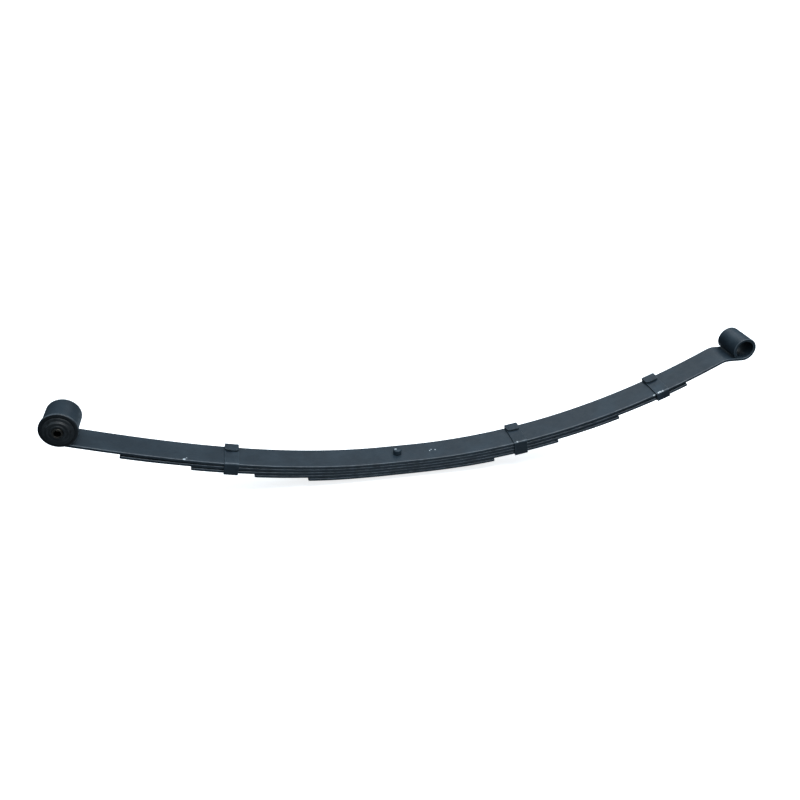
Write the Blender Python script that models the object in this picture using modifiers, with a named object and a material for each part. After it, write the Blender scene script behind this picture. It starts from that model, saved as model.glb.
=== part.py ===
"""Leaf spring: five stacked leaves, three riveted clips, a centre bolt and a bushed front eye.

The main leaf carries both eyes, each rolled upwards, and the shorter leaves lie below it.
Everything is placed from the seat: the middle of the main leaf's top face, on the centre
bolt's axis. +X runs along the spring to the rear eye, +Y across the leaves and +Z up.
The part's origin is the middle of the centre bolt's flat head, above the seat.
Run it with: blender --background --python part.py
"""

import math

import bmesh
import bpy
import numpy as np

# Leaf stock
LEAF_WIDTH = 0.0635
LEAF_THICKNESS = 0.00635
LEAF_EDGE_BREAK = 0.0011

# Main leaf, from the middle of the seat outwards
SEAT_LENGTH = 0.060
FRONT_LENGTH = 0.664
FRONT_RADIUS_AT_SEAT = 1.200
FRONT_RADIUS_AT_EYE = 8.300
REAR_LENGTH = 0.724
REAR_RADIUS_AT_SEAT = 1.297
REAR_RADIUS_AT_BEND = 1.511
BEND_RADIUS = 0.040
NECK_LENGTH = 0.031

# Eyes
FRONT_EYE_BORE = 0.0527
REAR_EYE_BORE = 0.0381
EYE_END_GAP = 0.0012

# Shorter leaves: how far each reaches ahead of and behind the centre bolt
LEAF_REACH = {
    "second_leaf": (0.5516, 0.6416),
    "third_leaf": (0.4184, 0.4834),
    "fourth_leaf": (0.2951, 0.3449),
    "fifth_leaf": (0.1880, 0.2030),
}

# Liners between the leaf ends
LINER_THICKNESS = {
    "second_leaf": 0.0022,
    "third_leaf": 0.0018,
    "fourth_leaf": 0.0008,
    "fifth_leaf": 0.0008,
}
LINER_LENGTH = 0.050
LINER_SIDE_INSET = 0.0030
LINER_END_INSET = 0.0040
LINER_BUTTON_RADIUS = 0.0055
LINER_BUTTON_RECESS = 0.0008

# Clips: the leaf each is riveted to, and its place ahead of (-) or behind (+) the bolt
CLIPS = {
    "front_clip": ("third_leaf", -0.342),
    "rear_inner_clip": ("fourth_leaf", 0.261),
    "rear_outer_clip": ("second_leaf", 0.585),
}
CLIP_WIDTH = 0.028
CLIP_THICKNESS = 0.0026
CLIP_BEND_RADIUS = 0.0012
CLIP_TAB_LENGTH = 0.025
CLIP_BAND_SETBACK = 0.003
CLIP_EDGE_BREAK = 0.0004

# Clip rivets
RIVET_RADIUS = 0.0040
RIVET_HEAD_RADIUS = 0.0072
RIVET_HEAD_HEIGHT = 0.0040
RIVET_SINK_RADIUS = 0.0066
RIVET_SINK_LAND = 0.0004
RIVET_SINK_DEPTH = 0.0030

# Centre bolt and its nut
BOLT_RADIUS = 0.00476
BOLT_HEAD_RADIUS = 0.0088
BOLT_HEAD_HEIGHT = 0.0105
BOLT_HEAD_ROUNDING = 0.0015
BOLT_END_BEYOND_NUT = 0.003
NUT_ACROSS_FLATS = 0.0143
NUT_HEIGHT = 0.0083
NUT_EDGE_BREAK = 0.0005

# Front eye bushing
SHELL_WALL = 0.0025
SHELL_FLANGE_OVERHANG = 0.0026
SHELL_FLANGE_THICKNESS = 0.0050
SHELL_FLANGE_ROUNDING = 0.0016
RUBBER_LIP_OVERLAP = 0.0046
RUBBER_LIP_HEIGHT = 0.0022
RUBBER_BOSS_INSET = 0.0011
RUBBER_BOSS_HEIGHT = 0.0078
RUBBER_ROUNDING = 0.0020
SLEEVE_BORE = 0.0132
SLEEVE_WALL = 0.0034
SLEEVE_PROUD = 0.00245
SLEEVE_EDGE_BREAK = 0.0007

# Fits
TOUCH_GAP = 0.0003
HOLE_CLEARANCE = 0.00035
CLIP_CLEARANCE = 0.0006

# How finely round lines are drawn
ARCH_STEP = math.radians(1.1)
ROW_SPACING = 0.002
EYE_STEP = math.radians(10)
STRAP_STEP = math.radians(30)
SMALL_ROUND_SIDES = 24
BUSHING_SIDES = 36
WELD = 0.00001

PARTS = bpy.data.collections.new("leaf_spring")
CUTTERS = bpy.data.collections.new("leaf_spring_cutters")


def clear_scene():
    """Start from nothing and add the two collections."""
    for obj in list(bpy.data.objects):
        bpy.data.objects.remove(obj)
    bpy.context.scene.collection.children.link(PARTS)
    bpy.context.scene.collection.children.link(CUTTERS)


def material(name, colour, roughness, metallic):
    """A plain surface of one colour."""
    made = bpy.data.materials.new(name)
    made.use_nodes = True
    shader = made.node_tree.nodes["Principled BSDF"]
    shader.inputs["Base Color"].default_value = (*colour, 1.0)
    shader.inputs["Roughness"].default_value = roughness
    shader.inputs["Metallic"].default_value = metallic
    return made


def frame_empty(name, parent, place, turn=0.0):
    """An empty to parent parts to, tipped nose-up by turn along the spring."""
    empty = bpy.data.objects.new(name, None)
    PARTS.objects.link(empty)
    empty.parent = parent
    empty.location = place
    empty.rotation_euler = (0.0, -turn, 0.0)
    return empty


def add_object(name, mesh, parent, surface, place=(0, 0, 0), turn=(0, 0, 0)):
    """Put a mesh in the model under its parent, with its material."""
    obj = bpy.data.objects.new(name, mesh)
    PARTS.objects.link(obj)
    obj.parent = parent
    obj.location = place
    obj.rotation_euler = turn
    mesh.materials.clear()
    mesh.materials.append(surface)
    return obj


def as_cutter(obj):
    """Move an object to the cutters, where it shapes others and is left out itself."""
    PARTS.objects.unlink(obj)
    CUTTERS.objects.link(obj)
    obj.hide_render = True
    obj.display_type = "WIRE"
    return obj


def combine(target, tool, operation="DIFFERENCE"):
    """Cut the tool out of the target, or join it on."""
    boolean = target.modifiers.new(tool.name, "BOOLEAN")
    boolean.operation = operation
    boolean.solver = "EXACT"
    boolean.object = tool


def break_edges(obj, width):
    """A flat chamfer on every sharp edge."""
    bevel = obj.modifiers.new("edge_break", "BEVEL")
    bevel.width = width
    bevel.segments = 1
    bevel.limit_method = "ANGLE"
    bevel.angle_limit = math.radians(40)


# ---------------------------------------------------------------- lines and outlines


def follow(stretches, step, start=(0.0, 0.0), heading=0.0):
    """Rows of distance, x, z and heading along a line.

    A stretch is its length, its curvature at the start and its curvature at the end.
    It is split so that no piece turns by more than the step.
    """
    rows = [(0.0, start[0], start[1], heading)]
    for length, first, last in stretches:
        turn = (abs(first) + abs(last)) / 2 * length
        pieces = max(1, math.ceil(turn / step - 0.001))
        piece = length / pieces
        for i in range(pieces):
            bend = (first + (last - first) * (i + 0.5) / pieces) * piece
            distance, x, z, heading = rows[-1]
            chord = piece * np.sinc(bend / (2 * math.pi))
            x += chord * math.cos(heading + bend / 2)
            z += chord * math.sin(heading + bend / 2)
            rows.append((distance + piece, x, z, heading + bend))
    return np.array(rows)


def half_turn(length, first_radius, last_radius):
    """How far half of the arch turns from the seat to its end."""
    return (length - SEAT_LENGTH / 2) * (1 / first_radius + 1 / last_radius) / 2


def front_stretches():
    """From the middle of the seat forwards to where the front eye starts."""
    return [
        (SEAT_LENGTH / 2, 0.0, 0.0),
        (FRONT_LENGTH - SEAT_LENGTH / 2, 1 / FRONT_RADIUS_AT_SEAT, 1 / FRONT_RADIUS_AT_EYE),
    ]


def rear_stretches():
    """From the middle of the seat back through the reverse bend and the level neck."""
    turn = half_turn(REAR_LENGTH, REAR_RADIUS_AT_SEAT, REAR_RADIUS_AT_BEND)
    return [
        (SEAT_LENGTH / 2, 0.0, 0.0),
        (REAR_LENGTH - SEAT_LENGTH / 2, 1 / REAR_RADIUS_AT_SEAT, 1 / REAR_RADIUS_AT_BEND),
        (BEND_RADIUS * turn, -1 / BEND_RADIUS, -1 / BEND_RADIUS),
        (NECK_LENGTH, 0.0, 0.0),
    ]


def both_halves(front, rear):
    """Join the front half, turned round, to the rear half: one line across the flat seat."""
    forwards = front[:0:-1] * np.array([-1.0, -1.0, 1.0, -1.0])
    return np.vstack([forwards, rear[1:]])


def eye_wrap(bore):
    """Length of the top line that rolls up into an eye and stops short of the leaf."""
    inner = bore / 2
    outer = inner + LEAF_THICKNESS
    below_level = math.asin((inner - EYE_END_GAP) / outer)
    return inner * (1.5 * math.pi + below_level)


def main_line():
    """The main leaf's top line, eyes included."""
    rolls = []
    for stretches, bore in (
        (front_stretches(), FRONT_EYE_BORE),
        (rear_stretches(), REAR_EYE_BORE),
    ):
        arch = follow(stretches, ARCH_STEP)
        inner = bore / 2
        roll = follow(
            [(eye_wrap(bore), 1 / inner, 1 / inner)], EYE_STEP, arch[-1, 1:3], arch[-1, 3]
        )
        roll[:, 0] += arch[-1, 0]
        rolls.append(np.vstack([arch, roll[1:]]))
    return both_halves(*rolls)


def arch_line():
    """The main leaf's top line between the eyes."""
    return both_halves(
        follow(front_stretches(), ARCH_STEP), follow(rear_stretches(), ARCH_STEP)
    )


ARCH = arch_line()


def at(distance):
    """x, z and heading of the arch at a distance from the centre bolt."""
    return [float(np.interp(distance, ARCH[:, 0], ARCH[:, i])) for i in (1, 2, 3)]


def liner_starts():
    """Distances at which the gaps between the leaves have opened to the liners' thickness."""
    reaches = np.array([(-front, rear) for front, rear in LEAF_REACH.values()]).ravel()
    return reaches - np.sign(reaches) * (LINER_END_INSET + LINER_LENGTH)


def rows_between(front, rear):
    """Rows of the arch between two distances, with both ends and every liner's start."""
    places = np.sort(np.concatenate([ARCH[:, 0], liner_starts()]))
    places = places[(places > front + ROW_SPACING) & (places < rear - ROW_SPACING)]
    places = places[np.diff(places, prepend=front) > ROW_SPACING]
    return np.array([[place, *at(place)] for place in (front, *places, rear)])


def offset_points(rows, depth):
    """Points below a line by a depth, square to it."""
    heading = rows[:, 3]
    x = rows[:, 1] + np.sin(heading) * depth
    z = rows[:, 2] - np.cos(heading) * depth
    return list(zip(x, z))


def strip_outline(rows, upper, lower):
    """Outline of a strip that follows a line between two depths below it."""
    return offset_points(rows, upper) + offset_points(rows, lower)[::-1]


def front_eye_centre():
    """Centre of the eye that rolls up from the front end of the main leaf."""
    _, x, z, heading = follow(front_stretches(), ARCH_STEP)[-1]
    inner = FRONT_EYE_BORE / 2
    return -(x - math.sin(heading) * inner), 0.0, z + math.cos(heading) * inner


# ---------------------------------------------------------------- depths in the stack


def gap_above(leaf, distance):
    """Gap over a leaf: closed along the seat, then opening as a parabola to its end liners."""
    front, rear = LEAF_REACH[leaf]
    tip_gap = LINER_THICKNESS[leaf] + 2 * TOUCH_GAP
    seat = SEAT_LENGTH / 2
    reach = np.where(distance < 0, front, rear) - LINER_END_INSET - LINER_LENGTH
    share = np.clip((np.abs(distance) - seat) / (reach - seat), 0.0, 1.0)
    return TOUCH_GAP + (tip_gap - TOUCH_GAP) * share**2


def top_depth(leaf, distance):
    """Depth of a leaf's top face below the main leaf's top line."""
    depth = np.zeros_like(distance)
    for name in LEAF_REACH:
        depth = depth + LEAF_THICKNESS + gap_above(name, distance)
        if name == leaf:
            break
    return depth


def bottom_depth(leaf, distance):
    """Depth of a leaf's underside below the main leaf's top line."""
    return float(top_depth(leaf, np.array(distance))) + LEAF_THICKNESS


# ---------------------------------------------------------------- basic solids


def plate(name, outline, width, parent, surface, turn=(math.pi / 2, 0, 0)):
    """A flat outline given a width, as a welded mesh."""
    curve = bpy.data.curves.new(name, "CURVE")
    curve.dimensions = "2D"
    curve.fill_mode = "BOTH"
    curve.extrude = width / 2
    spline = curve.splines.new("POLY")
    spline.points.add(len(outline) - 1)
    for point, (across, up) in zip(spline.points, outline):
        point.co = (across, up, 0.0, 1.0)
    spline.use_cyclic_u = True
    drawn = bpy.data.objects.new(name, curve)
    PARTS.objects.link(drawn)
    evaluated = drawn.evaluated_get(bpy.context.evaluated_depsgraph_get())
    mesh = bpy.data.meshes.new_from_object(evaluated)
    bpy.data.objects.remove(drawn)
    bpy.data.curves.remove(curve)
    welded = bmesh.new()
    welded.from_mesh(mesh)
    bmesh.ops.remove_doubles(welded, verts=welded.verts, dist=WELD)
    bmesh.ops.recalc_face_normals(welded, faces=welded.faces)
    welded.to_mesh(mesh)
    welded.free()
    return add_object(name, mesh, parent, surface, turn=turn)


def turned(name, profile, sides, parent, surface, place=(0, 0, 0), turn=(0, 0, 0), ring=False):
    """A profile of radius and height turned about Z. It runs down the outer side.

    A ring's profile closes on itself; any other starts and ends on the axis.
    """
    mesh = bpy.data.meshes.new(name)
    count = len(profile)
    edges = [(i, i + 1) for i in range(count - 1)]
    if ring:
        edges.append((count - 1, 0))
    mesh.from_pydata([(radius, 0.0, height) for radius, height in profile], edges, [])
    obj = add_object(name, mesh, parent, surface, place, turn)
    screw = obj.modifiers.new("turn", "SCREW")
    screw.axis = "Z"
    screw.steps = sides
    screw.render_steps = sides
    screw.use_merge_vertices = True
    screw.merge_threshold = WELD
    screw.use_smooth_shade = True
    return obj


def rounded_corner(radius, height, rounding, towards):
    """Three points round an outer corner, going down; towards is +1 at a top edge, -1 below."""
    points = []
    for share in (0.0, 0.5, 1.0):
        angle = share * math.pi / 2
        out = radius - rounding + rounding * math.sin(angle)
        up = height - towards * rounding * (1 - math.cos(angle))
        points.append((out, up))
    return points if towards > 0 else points[::-1]


# ---------------------------------------------------------------- leaves and liners


def drill(leaf, name, distance, radius):
    """A plain round hole through a leaf, square to it."""
    x, z, heading = at(distance)
    station = frame_empty(name + "_station", SEAT, (x, 0, z), heading)
    depth = 0.1
    profile = [(0, depth), (radius, depth), (radius, -depth), (0, -depth)]
    cutter = turned(name, profile, SMALL_ROUND_SIDES, station, STEEL_PAINT)
    combine(leaf, as_cutter(cutter))


def make_main_leaf():
    """The longest leaf with both rolled eyes, its bolt hole and the spot face for the flange."""
    line = main_line()
    leaf = plate(
        "main_leaf", strip_outline(line, 0.0, LEAF_THICKNESS), LEAF_WIDTH, SEAT, STEEL_PAINT
    )
    break_edges(leaf, LEAF_EDGE_BREAK)
    drill(leaf, "main_leaf_bolt_hole", 0.0, BOLT_RADIUS + HOLE_CLEARANCE)
    depth = SHELL_FLANGE_THICKNESS + TOUCH_GAP
    radius = shell_flange_radius() + HOLE_CLEARANCE
    profile = [(0, depth), (radius, depth), (radius, -depth), (0, -depth)]
    x, y, z = FRONT_EYE
    spot_face = turned(
        "flange_spot_face",
        profile,
        BUSHING_SIDES,
        SEAT,
        STEEL_PAINT,
        (x, -LEAF_WIDTH / 2, z),
        (math.pi / 2, 0, 0),
    )
    combine(leaf, as_cutter(spot_face))
    return leaf


def liner_middle(reach, side):
    """Distance of an end liner's middle from the centre bolt."""
    return side * (reach - LINER_END_INSET - LINER_LENGTH / 2)


def make_short_leaf(name):
    """One of the shorter leaves, with holes for the bolt and for its end liners' buttons."""
    front, rear = LEAF_REACH[name]
    rows = rows_between(-front, rear)
    upper = top_depth(name, rows[:, 0])
    leaf = plate(
        name, strip_outline(rows, upper, upper + LEAF_THICKNESS), LEAF_WIDTH, SEAT, STEEL_PAINT
    )
    break_edges(leaf, LEAF_EDGE_BREAK)
    drill(leaf, name + "_bolt_hole", 0.0, BOLT_RADIUS + HOLE_CLEARANCE)
    for word, reach, side in (("front", front, -1), ("rear", rear, 1)):
        hole = f"{name}_{word}_button_hole"
        drill(leaf, hole, liner_middle(reach, side), LINER_BUTTON_RADIUS + HOLE_CLEARANCE)
    return leaf


def make_liner(name, word, reach, side):
    """The pad over one end of a leaf, held by a button that goes into the leaf's hole."""
    middle = liner_middle(reach, side)
    rows = rows_between(middle - LINER_LENGTH / 2, middle + LINER_LENGTH / 2)
    lower = top_depth(name, rows[:, 0]) - TOUCH_GAP
    upper = lower - LINER_THICKNESS[name]
    width = LEAF_WIDTH - 2 * LINER_SIDE_INSET
    liner = plate(
        f"{name}_{word}_tip_liner", strip_outline(rows, upper, lower), width, SEAT, LINER_PLASTIC
    )
    x, z, heading = at(middle)
    station = frame_empty(liner.name + "_station", SEAT, (x, 0, z), heading)
    leaf_top = float(top_depth(name, np.array(middle)))
    head = -(leaf_top - TOUCH_GAP - LINER_THICKNESS[name] / 2)
    foot = -(leaf_top + LEAF_THICKNESS - LINER_BUTTON_RECESS)
    radius = LINER_BUTTON_RADIUS
    profile = [(0, head), (radius, head), (radius, foot), (0, foot)]
    button = turned(liner.name + "_button", profile, SMALL_ROUND_SIDES, station, LINER_PLASTIC)
    combine(liner, as_cutter(button), "UNION")


# ---------------------------------------------------------------- clips and rivets


def strap_stretches(stack):
    """The strap's middle line: over the top, down the near side, under, up and back over."""
    radius = CLIP_BEND_RADIUS + CLIP_THICKNESS / 2
    corner = (radius * math.pi / 2, 1 / radius, 1 / radius)
    half_span = LEAF_WIDTH / 2 + CLIP_CLEARANCE + CLIP_THICKNESS / 2
    height = stack + 2 * CLIP_CLEARANCE + CLIP_THICKNESS
    tab_rise = CLIP_THICKNESS + TOUCH_GAP
    band = half_span + LEAF_WIDTH / 2 - CLIP_BAND_SETBACK - radius
    straight = (0.0, 0.0)
    return [
        (band, *straight),
        corner,
        (height - 2 * radius, *straight),
        corner,
        (2 * half_span - 2 * radius, *straight),
        corner,
        (height + tab_rise - 2 * radius, *straight),
        corner,
        (CLIP_TAB_LENGTH - radius, *straight),
    ]


def rivet_profile(grip, clearance):
    """A round head under the strap, a shank of the grip's length and a sunk upper end."""
    shank = RIVET_RADIUS + clearance
    head = RIVET_HEAD_RADIUS + clearance
    sink = RIVET_SINK_RADIUS + clearance
    dome = []
    for share in (0.0, 0.33, 0.66, 1.0):
        angle = share * math.pi / 2
        dome.append((head * math.cos(angle), -grip - RIVET_HEAD_HEIGHT * math.sin(angle)))
    dome[-1] = (0.0, dome[-1][1])
    return [
        (0, clearance),
        (sink, clearance),
        (sink, -RIVET_SINK_LAND),
        (shank, -RIVET_SINK_DEPTH),
        (shank, -grip),
        *dome,
    ]


def make_clip(name, leaves):
    """A strap folded round the leaves, and the rivet that holds it to its lowest leaf."""
    leaf_name, distance = CLIPS[name]
    stack = bottom_depth(leaf_name, distance)
    x, z, heading = at(distance)
    station = frame_empty(name + "_station", SEAT, (x, 0, z), heading)
    start = (LEAF_WIDTH / 2 - CLIP_BAND_SETBACK, CLIP_CLEARANCE + CLIP_THICKNESS / 2)
    rows = follow(strap_stretches(stack), STRAP_STEP, start, math.pi)
    outline = strip_outline(rows, -CLIP_THICKNESS / 2, CLIP_THICKNESS / 2)
    facing = (math.pi / 2, 0, math.pi / 2)
    clip = plate(name, outline, CLIP_WIDTH, station, STEEL_PAINT, facing)
    break_edges(clip, CLIP_EDGE_BREAK)
    leaf_top = stack - LEAF_THICKNESS
    under_strap = LEAF_THICKNESS + CLIP_CLEARANCE + CLIP_THICKNESS + TOUCH_GAP
    profile = rivet_profile(under_strap, 0.0)
    turned(
        name + "_rivet",
        [(radius, height - leaf_top) for radius, height in profile],
        SMALL_ROUND_SIDES,
        station,
        STEEL_PAINT,
    )
    hole = [
        (radius, height - leaf_top) for radius, height in rivet_profile(under_strap, HOLE_CLEARANCE)
    ]
    cutter = turned(name + "_rivet_hole", hole, SMALL_ROUND_SIDES, station, STEEL_PAINT)
    as_cutter(cutter)
    combine(leaves[leaf_name], cutter)
    combine(clip, cutter)


# ---------------------------------------------------------------- centre bolt


def stack_depth():
    """Depth of the lowest leaf's underside along the seat."""
    return bottom_depth("fifth_leaf", 0.0)


def make_centre_bolt():
    """A bolt whose round flat head stands on the main leaf and finds the axle pad."""
    head_top = TOUCH_GAP + BOLT_HEAD_HEIGHT
    end = -(stack_depth() + TOUCH_GAP + NUT_HEIGHT + BOLT_END_BEYOND_NUT)
    profile = [
        (0, head_top),
        *rounded_corner(BOLT_HEAD_RADIUS, head_top, BOLT_HEAD_ROUNDING, 1),
        (BOLT_HEAD_RADIUS, TOUCH_GAP),
        (BOLT_RADIUS, TOUCH_GAP),
        (BOLT_RADIUS, end + BOLT_RADIUS / 4),
        (BOLT_RADIUS * 0.75, end),
        (0, end),
    ]
    turned("centre_bolt", profile, SMALL_ROUND_SIDES, SEAT, PLATED_STEEL)


def make_nut():
    """The hexagonal nut under the lowest leaf."""
    middle = -(stack_depth() + TOUCH_GAP + NUT_HEIGHT / 2)
    mesh = bpy.data.meshes.new("centre_bolt_nut")
    hexagon = bmesh.new()
    corner_radius = NUT_ACROSS_FLATS / 2 / math.cos(math.pi / 6)
    bmesh.ops.create_cone(
        hexagon,
        cap_ends=True,
        segments=6,
        radius1=corner_radius,
        radius2=corner_radius,
        depth=NUT_HEIGHT,
    )
    hexagon.to_mesh(mesh)
    hexagon.free()
    nut = add_object("centre_bolt_nut", mesh, SEAT, PLATED_STEEL, (0, 0, middle))
    break_edges(nut, NUT_EDGE_BREAK)
    depth = NUT_HEIGHT
    radius = BOLT_RADIUS + HOLE_CLEARANCE
    profile = [(0, depth), (radius, depth), (radius, -depth), (0, -depth)]
    bore = turned("nut_bore", profile, SMALL_ROUND_SIDES, SEAT, PLATED_STEEL, (0, 0, middle))
    combine(nut, as_cutter(bore))


# ---------------------------------------------------------------- front eye bushing


def bushing_piece(name, profile, surface):
    """A ring turned about the front eye's axis; heights run towards the near side."""
    return turned(
        name, profile, BUSHING_SIDES, SEAT, surface, FRONT_EYE, (math.pi / 2, 0, 0), ring=True
    )


def shell_outer_radius():
    """The shell fills the eye's bore but for its clearance and the bore's flats."""
    return (FRONT_EYE_BORE / 2) * math.cos(EYE_STEP / 2) - HOLE_CLEARANCE


def shell_inner_radius():
    """The shell's own bore."""
    return shell_outer_radius() - SHELL_WALL


def shell_flange_radius():
    """The flange stands a little beyond the outside of the rolled eye."""
    return FRONT_EYE_BORE / 2 + LEAF_THICKNESS + SHELL_FLANGE_OVERHANG


def make_shell():
    """The steel shell pressed into the eye, with a round flange on the near side."""
    outer = shell_outer_radius()
    inner = shell_inner_radius()
    flange = shell_flange_radius()
    face = LEAF_WIDTH / 2
    back = face - SHELL_FLANGE_THICKNESS
    profile = [
        (inner, face),
        *rounded_corner(flange, face, SHELL_FLANGE_ROUNDING, 1),
        (flange, back),
        (outer, back),
        (outer, -face),
        (inner, -face),
    ]
    bushing_piece("bushing_outer_shell", profile, SHELL_STEEL)


def rubber_end():
    """How far from the eye's middle each end of the rubber stands."""
    return LEAF_WIDTH / 2 + RUBBER_BOSS_HEIGHT


def make_rubber():
    """The rubber between shell and sleeve: a lip over the flange and a boss at each end."""
    body = shell_inner_radius() - TOUCH_GAP
    boss = body - RUBBER_BOSS_INSET
    rim = shell_inner_radius() + RUBBER_LIP_OVERLAP
    bore = sleeve_radius() + TOUCH_GAP
    face = LEAF_WIDTH / 2
    lip = face + TOUCH_GAP
    lip_top = lip + RUBBER_LIP_HEIGHT
    end = rubber_end()
    profile = [
        (bore, end),
        *rounded_corner(boss, end, RUBBER_ROUNDING, 1),
        (boss, lip_top),
        *rounded_corner(rim, lip_top, RUBBER_LIP_HEIGHT / 2, 1),
        (rim, lip),
        (body, lip),
        (body, -face),
        (boss, -face),
        *rounded_corner(boss, -end, RUBBER_ROUNDING, -1),
        (bore, -end),
    ]
    bushing_piece("bushing_rubber", profile, RUBBER)


def sleeve_radius():
    """Outer radius of the inner sleeve."""
    return SLEEVE_BORE / 2 + SLEEVE_WALL


def make_sleeve():
    """The steel sleeve that the hanger bolt goes through; it turns in the rubber."""
    outer = sleeve_radius()
    bore = SLEEVE_BORE / 2
    end = rubber_end() + SLEEVE_PROUD
    edge = SLEEVE_EDGE_BREAK
    profile = [
        (bore, end),
        (outer - edge, end),
        (outer, end - edge),
        (outer, edge - end),
        (outer - edge, -end),
        (bore, -end),
    ]
    bushing_piece("bushing_inner_sleeve", profile, SLEEVE_STEEL)


# ---------------------------------------------------------------- the whole spring


STEEL_PAINT = material("black_paint_on_spring_steel", (0.035, 0.040, 0.047), 0.38, 0.0)
SHELL_STEEL = material("black_painted_shell", (0.016, 0.017, 0.019), 0.45, 0.0)
RUBBER = material("bushing_rubber", (0.028, 0.028, 0.028), 0.75, 0.0)
SLEEVE_STEEL = material("oiled_sleeve_steel", (0.10, 0.10, 0.10), 0.42, 1.0)
PLATED_STEEL = material("painted_bolt_steel", (0.040, 0.044, 0.050), 0.40, 0.0)
LINER_PLASTIC = material("black_liner_plastic", (0.015, 0.015, 0.015), 0.60, 0.0)

clear_scene()
SEAT = frame_empty("seat", None, (0, 0, -(TOUCH_GAP + BOLT_HEAD_HEIGHT)))
FRONT_EYE = front_eye_centre()


def main():
    """Build every piece."""
    leaves = {"main_leaf": make_main_leaf()}
    for name, (front, rear) in LEAF_REACH.items():
        leaves[name] = make_short_leaf(name)
        make_liner(name, "front", front, -1)
        make_liner(name, "rear", rear, 1)
    for name in CLIPS:
        make_clip(name, leaves)
    make_centre_bolt()
    make_nut()
    make_shell()
    make_rubber()
    make_sleeve()


main()
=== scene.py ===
"""Leaf spring: finished surfaces and a plain studio, built round the packed frame.

Each leaf, clip, fastener and bushing piece is a surface worked out on a grid of two parameters
and stands for the plain solid of the same name. Lengths are metres and angles radians unless a
property says otherwise. +X runs to the open rear eye, +Y across the leaves and +Z up; the
origin is the middle of the centre bolt's flat head.
"""

import math

import bmesh
import bpy
import numpy as np
from bpy.props import FloatProperty, FloatVectorProperty, IntProperty, PointerProperty
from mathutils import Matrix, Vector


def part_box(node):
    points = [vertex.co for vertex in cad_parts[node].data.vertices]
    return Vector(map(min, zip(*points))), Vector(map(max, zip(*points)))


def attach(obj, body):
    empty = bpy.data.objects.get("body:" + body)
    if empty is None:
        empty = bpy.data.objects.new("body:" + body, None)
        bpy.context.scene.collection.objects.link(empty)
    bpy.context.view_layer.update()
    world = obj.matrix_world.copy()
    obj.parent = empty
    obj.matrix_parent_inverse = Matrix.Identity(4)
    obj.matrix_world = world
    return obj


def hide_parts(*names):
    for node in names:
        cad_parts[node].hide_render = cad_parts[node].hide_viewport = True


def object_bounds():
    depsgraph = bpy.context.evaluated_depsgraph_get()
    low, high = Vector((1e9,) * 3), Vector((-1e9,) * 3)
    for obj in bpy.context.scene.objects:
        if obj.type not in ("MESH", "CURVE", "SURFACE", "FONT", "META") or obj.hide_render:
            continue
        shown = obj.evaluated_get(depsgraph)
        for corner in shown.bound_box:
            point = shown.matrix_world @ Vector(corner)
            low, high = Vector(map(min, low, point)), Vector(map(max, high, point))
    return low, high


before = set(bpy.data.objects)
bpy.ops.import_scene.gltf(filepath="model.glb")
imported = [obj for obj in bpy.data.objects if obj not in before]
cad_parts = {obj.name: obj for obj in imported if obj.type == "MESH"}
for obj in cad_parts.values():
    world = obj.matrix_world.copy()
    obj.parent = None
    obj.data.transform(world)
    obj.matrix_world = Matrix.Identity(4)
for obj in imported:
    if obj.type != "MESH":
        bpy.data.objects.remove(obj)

bl_info = {
    "name": "Leaf Spring",
    "version": (1, 0, 0),
    "blender": (4, 5, 0),
    "location": "3D View > Sidebar > Leaf Spring",
    "description": "Builds the surfaces of a leaf spring with a bushed front eye, and a studio",
    "category": "Object",
}

CAD_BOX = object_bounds()
QUARTER = math.pi / 2
TURN = 2 * math.pi
# Sides of the round pieces
HOLE_SIDES = 48
BOLT_SIDES = 72
SPOT_FACE_SIDES = 128
BUSHING_SIDES = 160
# Edges that turn more than this are shaded crisp, and points closer than this are one
CRISP_ANGLE = math.radians(40)
SAME_POINT = 1e-6
# A wave texture of scale 1 repeats about every 0.31 m
WAVE_REPEAT = 0.31

LEAVES = ("second_leaf", "third_leaf", "fourth_leaf", "fifth_leaf")
# How far each leaf reaches ahead of and behind the centre bolt, and the gap over its ends
REACH = {
    "second_leaf": (0.5516, 0.6416, 0.0028),
    "third_leaf": (0.4184, 0.4834, 0.0024),
    "fourth_leaf": (0.2951, 0.3449, 0.0014),
    "fifth_leaf": (0.1880, 0.2030, 0.0014),
}
# Each clip's lowest leaf, and its distance behind the centre bolt
CLIPS = {
    "front_clip": ("third_leaf", -0.342),
    "rear_inner_clip": ("fourth_leaf", 0.261),
    "rear_outer_clip": ("second_leaf", 0.585),
}


def width_of(node, axis):
    """Size of a frame node's box along an axis."""
    low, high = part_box(node)
    return high[axis] - low[axis]


SLEEVE_LOW, SLEEVE_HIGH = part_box("bushing_inner_sleeve")
FRONT_EYE = (SLEEVE_LOW + SLEEVE_HIGH) / 2


def linear(code):
    """A colour written as sRGB hex, turned to the linear values that shaders use."""
    parts = [int(code[i : i + 2], 16) / 255 for i in (1, 3, 5)]
    return [p / 12.92 if p <= 0.04045 else ((p + 0.055) / 1.055) ** 2.4 for p in parts]


# ---- Settings


def length(name, default, description):
    """A length in metres that a user may change."""
    return FloatProperty(
        name=name, description=description, default=default, unit="LENGTH", precision=5
    )


def number(name, default, description):
    """A plain number that a user may change."""
    return FloatProperty(name=name, description=description, default=default, precision=4)


def power(name, default, description):
    """A light's power in watts that a user may change."""
    return FloatProperty(name=name, description=description, default=default, unit="POWER")


def place(name, default, description):
    """A place that a user may change."""
    return FloatVectorProperty(
        name=name, description=description, default=default, subtype="TRANSLATION", unit="LENGTH"
    )


def colour(name, code, description):
    """A colour that a user may change, given as sRGB hex."""
    return FloatVectorProperty(
        name=name, description=description, default=linear(code), subtype="COLOR", size=3
    )


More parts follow.
